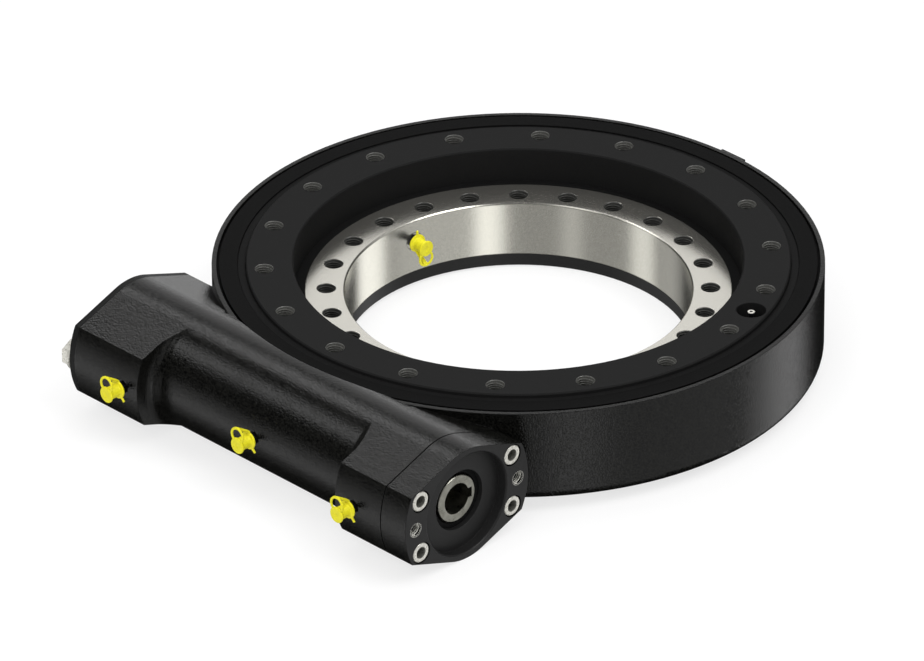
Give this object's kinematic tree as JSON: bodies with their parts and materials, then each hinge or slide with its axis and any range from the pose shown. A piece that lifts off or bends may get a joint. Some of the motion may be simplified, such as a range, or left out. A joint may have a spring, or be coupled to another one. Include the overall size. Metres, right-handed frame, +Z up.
{
  "type": "hydraulic slewing drive",
  "caption": "Enclosed worm-driven slewing ring: black cast housing with a worm tube along one side, toothed turning ring, bright inner ring and a flange for a hydraulic motor.",
  "frame": {"origin": "on the slewing ring's axis, in the plane of the base pad that bolts to the machine frame", "axes": "+Z up the ring's axis to the face that the load bolts to, +X along the worm's axis out of the motor flange, -Y from the ring's axis to the worm"},
  "size_m": [0.47, 0.554, 0.0928],
  "materials": {
    "black_casting": "semi-matt black powder coat over a casting",
    "black_ring": "even satin black",
    "ground_steel": "turned and ground, bright",
    "bearing_steel": "ground",
    "nylon": "moulded, natural white",
    "seal_rubber": "matt black",
    "gasket_fibre": "dark gasket sheet",
    "zinc_plate": "bright zinc plate",
    "black_screw": "black oxide",
    "yellow_plastic": "moulded yellow"
  },
  "bodies": {
    "casing": {"housing": "black_casting", "inner_ring": "ground_steel", "ring_screws": "black_screw", "filler_plug": "ground_steel", "filler_pin": "ground_steel", "race_seal": "seal_rubber", "ring_seal": "seal_rubber", "seal_retainer": "black_ring", "motor_cover": "black_casting", "cover_gasket": "gasket_fibre", "cover_screws": "zinc_plate", "blanking_cover": "black_casting", "blanking_o_ring": "seal_rubber", "blanking_bolts": "zinc_plate", "blanking_washers": "zinc_plate", "shaft_seal": "seal_rubber", "motor_end_cup": "bearing_steel", "far_end_cup": "bearing_steel", "relief_plug": "black_casting", "far_end_nipple": "zinc_plate", "middle_nipple": "zinc_plate", "motor_end_nipple": "zinc_plate", "bore_nipple": "zinc_plate"},
    "turning_ring": {"geared_ring": "black_ring", "ring_nipple": "zinc_plate"},
    "race_set": {"race_rollers": "bearing_steel", "race_spacers": "nylon"},
    "worm": {"worm_shaft": "ground_steel", "motor_end_cone": "bearing_steel", "far_end_cone": "bearing_steel"},
    "worm_roller_set": {"taper_rollers": "bearing_steel", "roller_cages": "bearing_steel"},
    "far_cap": {"far_end_cap": "yellow_plastic"},
    "middle_dust_cap": {"middle_cap": "yellow_plastic"},
    "motor_cap": {"motor_end_cap": "yellow_plastic"},
    "bore_dust_cap": {"bore_cap": "yellow_plastic"}
  },
  "joints": [
    {"name": "ring_spin", "type": "hinge", "parent": "casing", "child": "turning_ring", "pos_m": [0, 0, 0], "axis": [0, 0, 1], "continuous": true},
    {"name": "race_orbit", "type": "hinge", "parent": "casing", "child": "race_set", "pos_m": [0, 0, 0], "axis": [0, 0, 1], "continuous": true},
    {"name": "worm_spin", "type": "hinge", "parent": "casing", "child": "worm", "pos_m": [0, -0.2362, 0.039], "axis": [1, 0, 0], "continuous": true},
    {"name": "worm_bearing_orbit", "type": "hinge", "parent": "casing", "child": "worm_roller_set", "pos_m": [0, -0.2362, 0.039], "axis": [1, 0, 0], "continuous": true},
    {"name": "far_cap_pull", "type": "slide", "parent": "casing", "child": "far_cap", "axis": [0, -1, 0], "range_m": [0, 0.014]},
    {"name": "middle_cap_pull", "type": "slide", "parent": "casing", "child": "middle_dust_cap", "axis": [0, -1, 0], "range_m": [0, 0.014]},
    {"name": "motor_cap_pull", "type": "slide", "parent": "casing", "child": "motor_cap", "axis": [0, -1, 0], "range_m": [0, 0.014]},
    {"name": "bore_cap_pull", "type": "slide", "parent": "casing", "child": "bore_dust_cap", "axis": [0.9914, -0.1305, 0], "range_m": [0, 0.014]}
  ],
  "couplings": [
    {"joint": "race_orbit", "follows": "ring_spin", "ratio": 0.5},
    {"joint": "worm_spin", "follows": "ring_spin", "ratio": -84},
    {"joint": "worm_bearing_orbit", "follows": "ring_spin", "ratio": -36.96}
  ]
}
